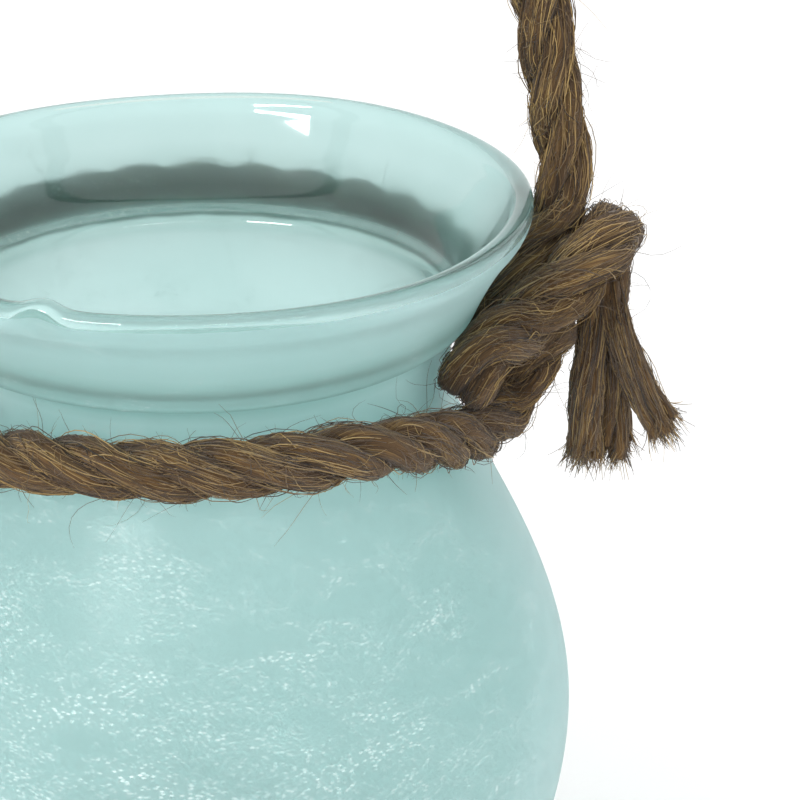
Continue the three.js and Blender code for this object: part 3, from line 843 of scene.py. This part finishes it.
class LANTERN_OT_jar(bpy.types.Operator):
    """Make the blown glass jar"""

    bl_idname = "lantern.jar"
    bl_label = "Glass jar"

    def execute(self, context):
        glass = context.scene.lantern_glass
        fine = 5
        outside = joined([[PUNT_R + 2, 0]], body_line(0, 0, fine), collar_outside(fine))
        inside = joined(lip_and_collar_inside(fine), body_line(WALL, FLOOR, fine)[::-1])
        punt = joined([[PUNT_R * 0.5, PUNT_DEPTH], [PUNT_R, PUNT_DEPTH]])
        outside[1:-1] = softened(outside[1:-1], 3)
        inside[20:-1] = softened(inside[20:-1], 3)
        # Tooling rings inside the collar, fainter than the eye sees but not than a reflection.
        rings = (inside[:, 1] > COLLAR_Z) & (inside[:, 1] < LIP_Z - 1.5)
        inside[rings, 0] += 0.03 * np.sin(inside[rings, 1] * 2 * np.pi / 8.0)
        profile = joined(punt, outside, inside, [[14.0, FLOOR]])
        rows, around = len(profile), glass.around
        angle = np.linspace(0, 2 * np.pi, around, endpoint=False)
        r, z = profile[:, 0][:, None], profile[:, 1][:, None]
        # Hand-blown unevenness, the same on both faces of the wall so that it stays whole.
        free = np.clip((z - 8) / 25, 0, 1)
        wobble = glass.wobble * PER_M * free * (0.6 * np.cos(2 * angle + 0.02 * z + 0.8)
                                                + 0.4 * np.cos(3 * angle - 0.03 * z + 2.1))
        lip = np.clip((z - LIP_Z + 8) / 8, 0, 1)
        dip = lip * (0.35 * np.cos(2 * angle - 0.4) + 0.2 * np.cos(5 * angle + 1.0))
        # The gather mark: a small knob in the lip where the last thread of glass was cut off.
        turn = np.mod(angle - math.radians(GATHER_ANGLE) + np.pi, 2 * np.pi) - np.pi
        bump = np.exp(-(turn * LIP_R / GATHER_WIDTH) ** 2)
        swell = bump * np.clip((z - LIP_Z + 3.5) / 3.5, 0, 1)
        outward = np.clip((r - (LIP_R - LIP_BEAD / 2)) / 2, -1, 1)
        rr = r + wobble * lip * 0.6 + wobble * (1 - lip) + 0.55 * swell * outward
        zz = z + dip + 1.5 * swell
        p = np.stack([rr * np.cos(angle), rr * np.sin(angle), np.broadcast_to(zz, rr.shape)], -1)
        faces = grid_faces(rows, around, False)
        verts = p.reshape(-1, 3)
        low, high = len(verts), len(verts) + 1
        verts = np.vstack([verts, [[0, 0, PUNT_DEPTH]], [[0, 0, FLOOR - 0.3]]])
        ring = np.arange(around)
        caps = np.vstack([
            np.stack([np.full(around, low), np.roll(ring, -1), ring], 1),
            np.stack([ring + (rows - 1) * around, np.roll(ring, -1) + (rows - 1) * around,
                      np.full(around, high)], 1)])
        frosted = glass_material("acid_frosted_aqua_glass", glass, frosted_glass_skin)
        polished = glass_material("fire_polished_aqua_glass", glass, polished_glass_skin)
        jar = make_mesh("blown_glass_jar", verts, [faces, caps], [frosted, polished], "jar", "frosted_glass",
                        ["glass_jar"])
        lip_row = len(joined(punt, outside)) - 2
        index = np.zeros(len(jar.data.polygons), np.int32)
        index[: len(faces)] = (np.arange(len(faces)) // around) >= lip_row
        index[len(faces) + around :] = 1
        jar.data.polygons.foreach_set("material_index", index)
        return {"FINISHED"}


GATHER_ANGLE = -115.0
GATHER_WIDTH = 3.6


# ---- Rope routes, as in the frame -----------------------------------------------------


def ring_point(angle, radius, lift=0.0):
    middle, dip = (COLLAR_Z - RING_BACK_DROP, RING_BACK_DIP) if math.sin(angle) > 0 else (RING_Z, RING_DIP)
    z = middle - dip * math.cos(angle) ** 4 + lift
    r = rest_radius(z, radius)
    return [r * math.cos(angle), r * math.sin(angle), z]


ARM_ANGLE = math.radians(24)
BIGHT_HALF = ROPE_R + 0.8
RING_ARC_POINTS = 14


def beside_hitch(x, y, z):
    """A place in rope radii from the lip's edge beside the right hitch."""
    return [HANDLE_X + x * ROPE_R, y * ROPE_R, LIP_Z + z * ROPE_R]


def bight():
    """The loop that the hitch pulls out from the ring, from its front arm to its back arm."""
    side = 0.75 * BIGHT_HALF / ROPE_R
    route = [(-2.1, -2.05, -7.6), (-1.25, -1.45, -6.2), (-0.6, -side, -5.65), (-0.3, 0, -5.5),
             (-0.6, side, -5.65), (-1.15, 1.5, -5.9), (-2.0, 2.5, -5.3)]
    return [beside_hitch(*place) for place in route]


def mirrored(points):
    return [[-x, y, z] for x, y, z in reversed(points)]


def ring_arc(start, end):
    """Part of the ring, which stands a little further off the glass's wobble at the back."""
    angles = [start + (end - start) * i / RING_ARC_POINTS for i in range(RING_ARC_POINTS + 1)]
    return [ring_point(a, ROPE_R + 0.7 * max(0.0, math.sin(a))) for a in angles]


def ring_route():
    right = bight()
    left = mirrored(right)
    return (left[3:] + ring_arc(-math.pi + ARM_ANGLE, -ARM_ANGLE) + right
            + ring_arc(ARM_ANGLE, math.pi - ARM_ANGLE) + left[:3])


def standing_route():
    top, bottom = PIVOT_Z - ROPE_R - GAP, LIP_Z - 6.4 * ROPE_R
    points = []
    for i in range(9):
        z = top + (bottom - top) * i / 8
        points.append([max(rest_radius(z, ROPE_R), HANDLE_X if z > LIP_Z - LIP_BEAD else 0), 0, z])
    return points


HANDLE_ROUTE = [
    [1, 0], [0.97, 0.08], [0.936, 0.17], [0.893, 0.27], [0.842, 0.37], [0.782, 0.47], [0.714, 0.57],
    [0.637, 0.665], [0.554, 0.75], [0.463, 0.83], [0.36, 0.9], [0.248, 0.955], [0.126, 0.989],
]


def handle_route():
    """Right standing end, up over the handle's top, and down the left standing end."""
    right = [[HANDLE_X * across, 0, PIVOT_Z + HANDLE_RISE * up] for across, up in HANDLE_ROUTE]
    stand = standing_route()[1:]
    half = stand[::-1] + right
    return half + [[0, 0, PIVOT_Z + HANDLE_RISE]] + [[-x, y, z] for x, y, z in reversed(half)]


def wrap_route():
    """Folded back on itself under the collar, up across the front, round the knob and down."""
    return [[52.5, -13.0, 140.2], [49.8, -18.5, 139.6], [48.6, -22.2, 141.6], [50.3, -22.0, 145.0],
            beside_hitch(-1.75, -3.0, -3.95), beside_hitch(-0.65, -2.6, -3.15),
            beside_hitch(0.6, -2.05, -2.1), beside_hitch(1.55, -1.15, -1.5), beside_hitch(1.9, 0.1, -1.6),
            beside_hitch(1.7, 1.1, -2.5), beside_hitch(1.6, 1.15, -3.6), beside_hitch(1.8, 0.8, -4.7)]


# Each strand of the tail starts inside the knob, where the turn of rope ends.
TAIL_STRANDS = {
    "inner": [(1.45, 0.55, -3.9), (1.25, -0.1, -5.95), (1.0, -0.75, -8.2), (0.95, -1.1, -10.6)],
    "middle": [(1.75, 1.1, -3.9), (1.95, 0.65, -5.95), (2.15, 0.05, -8.3), (2.35, -0.4, -11.0)],
    "outer": [(1.95, 0.5, -3.8), (2.3, -0.3, -5.6), (3.2, -0.8, -7.7), (4.35, -1.1, -9.5)],
}


BUNDLE_YARNS = 7


def yarn_bundle(points, seed):
    """The yarns of one unlaid strand, which open out towards its cut end."""
    line, along, length = spaced(spline(points), 0.5)
    tangent, normal, binormal = frames_along(line)
    rng = np.random.default_rng(seed)
    share = along / length
    yarns = []
    for k in range(BUNDLE_YARNS):
        inner = k == 0
        angle = 2 * np.pi * k / (BUNDLE_YARNS - 1) + 0.09 * along + rng.normal(0, 0.2)
        away = (0.15 if inner else 1.0) * (1.55 + (0.9 + rng.uniform(-0.3, 0.5)) * share**2)
        outward = np.cos(angle)[:, None] * normal + np.sin(angle)[:, None] * binormal
        wave = wander(along, rng, 14, 0.25)
        centre = line + (away + wave * share)[:, None] * outward
        cut = int(len(line) * rng.uniform(0.86, 0.99))
        radius = 1.12 * (1 + wander(along, rng, 9, 0.09)) * (1 + 0.12 * share)
        yarns.append(Strand(centre[:cut], outward[:cut], along[:cut], radius[:cut], k, False, seed * 10 + k))
    return yarns


# ---- Rope operators -------------------------------------------------------------------

SIDES = {"right": 1.0, "left": -1.0}


def on_side(points, side):
    return points if side > 0 else [[-x, y, z] for x, y, z in points]


def fibre_batches(strands, rope, rng, parts, reach=1.0, share=1.0):
    """Lying and stray fibres for a rope, in a number of parts along its length."""
    length = strands[0].along[-1]
    batches = []
    for part in range(parts):
        low, high = length * part / parts, length * (part + 1) / parts
        lying, strays = [], []
        for strand in strands:
            cm = (high - low) / 10
            flat = int(rope.fibres_per_cm * share * cm / STRANDS)
            loose = int(rope.strays_per_cm * cm / STRANDS)
            lying.append(lying_fibres(strand, flat, rng, low=low, high=high))
            strays.append(stray_fibres(strand, loose, rng, low=low, high=high, reach=reach))
        batches.append(lying + strays)
    return batches


def rope_materials(rope):
    if "jute_spun_yarn" in bpy.data.materials:
        return bpy.data.materials["jute_spun_yarn"], bpy.data.materials["jute_loose_fibre"]
    return jute_strand_material(rope), jute_fibre_material(rope)


class LANTERN_OT_handle(bpy.types.Operator):
    """Make the rope handle with its standing ends"""

    bl_idname = "lantern.handle"
    bl_label = "Rope handle"

    def execute(self, context):
        rope = context.scene.lantern_rope
        yarn, fibre = rope_materials(rope)
        strands, (line, _, length) = rope_strands(handle_route(), ROPE_R, rope.handle_pitch * PER_M, seed=11)
        verts, faces, attributes = strands_mesh(strands, axis=line, reach=ROPE_R)
        piece = make_mesh("handle_rope_laid", verts, faces, yarn, attributes=attributes)
        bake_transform(piece)
        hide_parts("handle_rope", "right_standing_end", "left_standing_end")
        rng = np.random.default_rng(12)
        fuzz = list(add_fibres("handle_rope_fibres", fibre_batches(strands, rope, rng, 3), rng, fibre))
        for part in fuzz:
            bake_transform(part)
        route = spaced(line, 4.0)[0] * MM
        tuple(route[0])
        [tuple(p) for p in route]
        return {"FINISHED"}


class LANTERN_OT_ring(bpy.types.Operator):
    """Make the rope ring round the neck"""

    bl_idname = "lantern.ring"
    bl_label = "Neck ring"

    def execute(self, context):
        rope = context.scene.lantern_rope
        yarn, fibre = rope_materials(rope)
        strands, (line, _, _) = rope_strands(ring_route(), ROPE_R, rope.pitch * PER_M, closed=True, phase=1.0,
                                             seed=21)
        verts, faces, attributes = strands_mesh(strands, axis=line, reach=ROPE_R)
        make_mesh("neck_rope_laid", verts, faces, yarn, "jar", "jute_rope", ["neck_rope"], attributes)
        rng = np.random.default_rng(22)
        list(add_fibres("neck_rope_fibres", fibre_batches(strands, rope, rng, 3), rng, fibre, body="jar"))
        return {"FINISHED"}


class LANTERN_OT_hitches(bpy.types.Operator):
    """Make the turn of rope that wraps each hitch"""

    bl_idname = "lantern.hitches"
    bl_label = "Hitches"

    def execute(self, context):
        rope = context.scene.lantern_rope
        yarn, fibre = rope_materials(rope)
        for name, side in SIDES.items():
            route = on_side(wrap_route(), side)
            strands, (line, _, _) = rope_strands(route, WRAP_R, 34, seed=31 + int(side), step=0.5,
                                                 loosen=lambda u: -0.45 * np.clip(1 - u / 0.13, 0, 1) ** 1.5)
            verts, faces, attributes = strands_mesh(strands, axis=line, reach=WRAP_R)
            make_mesh(f"{name}_hitch_laid", verts, faces, yarn, "jar", "jute_rope", [f"{name}_hitch_wrap"],
                      attributes)
            rng = np.random.default_rng(33 + int(side))
            batches = fibre_batches(strands, rope, rng, 1, share=1.15)
            list(add_fibres(f"{name}_hitch_fibres", batches, rng, fibre, body="jar"))
        return {"FINISHED"}


class LANTERN_OT_tails(bpy.types.Operator):
    """Make the cut and unlaid tail under each hitch"""

    bl_idname = "lantern.tails"
    bl_label = "Tails"

    def execute(self, context):
        rope = context.scene.lantern_rope
        yarn, fibre = rope_materials(rope)
        for name, side in SIDES.items():
            for index, (strand_name, places) in enumerate(TAIL_STRANDS.items()):
                points = on_side([beside_hitch(*p) for p in places], side)
                seed = 50 + 10 * index + 30 * (side > 0)
                yarns = yarn_bundle(points, seed)
                verts, faces, attributes = strands_mesh(yarns, 14)
                make_mesh(f"{name}_tail_{strand_name}", verts, faces, yarn, "jar", "jute_rope",
                          [f"{name}_tail_strand_{strand_name}"], attributes)
                rng = np.random.default_rng(seed + 100)
                batch = []
                for one in yarns:
                    batch += [lying_fibres(one, 90, rng), stray_fibres(one, 16, rng, reach=0.7),
                              tuft_fibres(one, 60, rng)]
                list(add_fibres(f"{name}_tail_{strand_name}_fibres", [batch], rng, fibre, body="jar"))
        return {"FINISHED"}


# ---- Tealight -------------------------------------------------------------------------


def turned_solid(name, profile, around, material, body, slot, replaces, ripple=None):
    """A closed solid turned from a profile that starts and ends on the axis."""
    profile = np.asarray(profile, float)
    inner = profile[1:-1]
    angle = np.linspace(0, 2 * np.pi, around, endpoint=False)
    r = np.broadcast_to(inner[:, 0][:, None], (len(inner), around)).copy()
    if ripple is not None:
        r += ripple(angle[None], inner[:, 1][:, None], inner[:, 0][:, None])
    p = np.stack([r * np.cos(angle), r * np.sin(angle), np.broadcast_to(inner[:, 1][:, None], r.shape)], -1)
    verts = p.reshape(-1, 3)
    first, last = len(verts), len(verts) + 1
    verts = np.vstack([verts, [[0, 0, profile[0, 1]]], [[0, 0, profile[-1, 1]]]])
    ring = np.arange(around)
    top = ring + (len(inner) - 1) * around
    caps = np.vstack([np.stack([np.full(around, first), np.roll(ring, -1), ring], 1),
                      np.stack([top, np.roll(top, -1), np.full(around, last)], 1)])
    faces = [grid_faces(len(inner), around, False), caps]
    return make_mesh(name, verts, faces, material, body, slot, replaces)


class LANTERN_OT_tealight(bpy.types.Operator):
    """Make the tealight: pressed cup, wax and wick"""

    bl_idname = "lantern.tealight"
    bl_label = "Tealight"

    def execute(self, context):
        tealight = context.scene.lantern_tealight
        foil = foil_material(tealight)
        z0, z1, r = CUP_LOW[2], CUP_HIGH[2], CUP_HIGH[0]
        wall = [[r - 0.9, z0], [r - 0.35, z0 + 0.25], [r - 0.15, z0 + 0.9]]
        wall += [[r - 0.15, z0 + 0.9 + (z1 - z0 - 2.2) * i / 10] for i in range(1, 11)]
        bead = [[r - 0.25 + 0.25 * math.cos(a), z1 - 0.5 + 0.3 * math.sin(a)]
                for a in np.radians([-60, -20, 20, 60, 100, 140, 180])]
        inner = [[r - 0.5, z1 - 1.2], [r - 0.5, z0 + 0.9], [r - 0.9, z0 + 0.5]]
        cup = [[0, z0]] + wall + bead + inner + [[0, z0 + 0.5]]
        flutes = tealight.flutes

        def fluted(angle, z, radius):
            upright = np.clip((z - z0 - 1) / 1.5, 0, 1) * np.clip((z1 - 1.4 - z) / 1.5, 0, 1)
            return 0.14 * upright * (np.cos(flutes * angle) - 1) * (radius > r - 0.3)

        turned_solid("tealight_pressed_cup", cup, flutes * 6, foil, "tealight", "tealight_cup",
                     ["tealight_cup"], fluted)
        w0, w1, wr = WAX_LOW[2], WAX_HIGH[2], WAX_HIGH[0]
        top = [[wr * (1 - i / 14), w1 - 0.55 + 0.55 * (1 - i / 14) ** 8] for i in range(14)]
        wax_profile = [[0, w0], [wr - 0.6, w0], [wr, w0 + 0.6], [wr, w1 - 1]] + top + [[0, w1 - 0.3]]
        turned_solid("tealight_poured_wax", wax_profile, 96, wax_material(tealight), "tealight", "wax",
                     ["tealight_wax"])
        k0, k1 = WAX_HIGH[2] - 1.5, WICK_HIGH[2]
        line = spline([[0, 0, k0], [0.05, 0, k0 + 2], [0.15, 0.1, k1 - 2], [0.5, 0.2, k1 - 0.4]])
        line, along, _ = spaced(line, 0.2)
        t, n, b = frames_along(line)
        strands = []
        for k in range(3):
            angle = 2 * np.pi * (along / 3.0 + k / 3)
            outward = np.cos(angle)[:, None] * n + np.sin(angle)[:, None] * b
            thick = np.full(len(line), 0.45)
            strands.append(Strand(line + 0.4 * outward, outward, along, thick, k, False, 70 + k))
        verts, faces, attributes = strands_mesh(strands, 12)
        make_mesh("tealight_braided_wick", verts, faces, cotton_material(), "tealight", "cotton_wick",
                  ["tealight_wick"], attributes)
        plate = frame["nodes"]["wick_sustainer"]
        plate.data.materials.clear()
        plate.data.materials.append(foil)
        return {"FINISHED"}


# ---- Stage ----------------------------------------------------------------------------


def area_light(name, place, aim, size, power, colour="#ffffff"):
    light = bpy.data.lights.new(name, "AREA")
    light.shape = "RECTANGLE"
    light.size, light.size_y = size
    light.energy = power
    light.color = linear(colour)[:3]
    lamp = bpy.data.objects.new(name, light)
    lamp.location = place
    lamp.rotation_euler = (Vector(aim) - Vector(place)).to_track_quat("-Z", "Y").to_euler()
    bpy.context.scene.collection.objects.link(lamp)
    return lamp


class LANTERN_OT_stage(bpy.types.Operator):
    """Make the floor, the lights and the camera"""

    bl_idname = "lantern.stage"
    bl_label = "Stage"

    def execute(self, context):
        stage = context.scene.lantern_stage
        half = 3.0
        floor = bpy.data.meshes.new("paper_floor")
        corners = [(-half, -half, 0), (half, -half, 0), (half, half, 0), (-half, half, 0)]
        floor.from_pydata(corners, [], [(0, 1, 2, 3)])
        floor.materials.append(floor_material(stage))
        sheet = bpy.data.objects.new("paper_floor", floor)
        context.scene.collection.objects.link(sheet)
        world = bpy.data.worlds.new("soft_white_room")
        world.use_nodes = True
        world.node_tree.nodes["Background"].inputs["Color"].default_value = (1, 1, 1, 1)
        world.node_tree.nodes["Background"].inputs["Strength"].default_value = 1.1
        context.scene.world = world
        middle = (0, 0, 0.12)
        area_light("key_softbox", (-0.72, -0.95, 0.85), middle, (0.5, 0.09), 7.5)
        area_light("front_strip", (0.32, -1.15, 0.80), middle, (1.0, 0.02), 1.4)
        context.scene.view_settings.view_transform = "Standard"
        level = math.cos(stage.pitch)
        ahead = Vector((math.sin(stage.turn) * level, math.cos(stage.turn) * level, -math.sin(stage.pitch)))
        right = ahead.cross(Vector((0, 0, 1))).normalized()
        up = right.cross(ahead)
        right, up = (right * math.cos(stage.roll) + up * math.sin(stage.roll),
                     up * math.cos(stage.roll) - right * math.sin(stage.roll))
        camera = bpy.data.cameras.new("camera")
        camera.lens = stage.lens
        camera.sensor_width = 36
        eye = bpy.data.objects.new("camera", camera)
        eye.matrix_world = Matrix((
            (right.x, up.x, -ahead.x, 0.0),
            (right.y, up.y, -ahead.y, -stage.distance),
            (right.z, up.z, -ahead.z, LIP_Z * MM + stage.rise),
            (0, 0, 0, 1)))
        context.scene.collection.objects.link(eye)
        context.scene.camera = eye
        return {"FINISHED"}


class LANTERN_PT_panel(bpy.types.Panel):
    """Lists the lantern's pieces"""

    bl_label = "Hanging Lantern"
    bl_idname = "LANTERN_PT_panel"
    bl_space_type = "VIEW_3D"
    bl_region_type = "UI"
    bl_category = "Lantern"

    def draw(self, context):
        for operator in OPERATORS:
            self.layout.operator(operator.bl_idname)
        for group in GROUPS:
            settings = getattr(context.scene, group)
            for name in settings.__annotations__:
                self.layout.prop(settings, name)


GROUPS = {
    "lantern_glass": LanternGlass,
    "lantern_rope": LanternRope,
    "lantern_tealight": LanternTealight,
    "lantern_stage": LanternStage,
}
OPERATORS = [LANTERN_OT_stage, LANTERN_OT_handle, LANTERN_OT_ring, LANTERN_OT_hitches, LANTERN_OT_tails,
             LANTERN_OT_jar, LANTERN_OT_tealight]


def register():
    for cls in [*GROUPS.values(), *OPERATORS, LANTERN_PT_panel]:
        bpy.utils.register_class(cls)
    for name, group in GROUPS.items():
        setattr(bpy.types.Scene, name, PointerProperty(type=group))


def unregister():
    for name in GROUPS:
        delattr(bpy.types.Scene, name)
    for cls in reversed([*GROUPS.values(), *OPERATORS, LANTERN_PT_panel]):
        bpy.utils.unregister_class(cls)


def main():
    register()
    for operator in OPERATORS:
        group, name = operator.bl_idname.split(".")
        getattr(getattr(bpy.ops, group), name)()


if __name__ == "__main__":
    main()
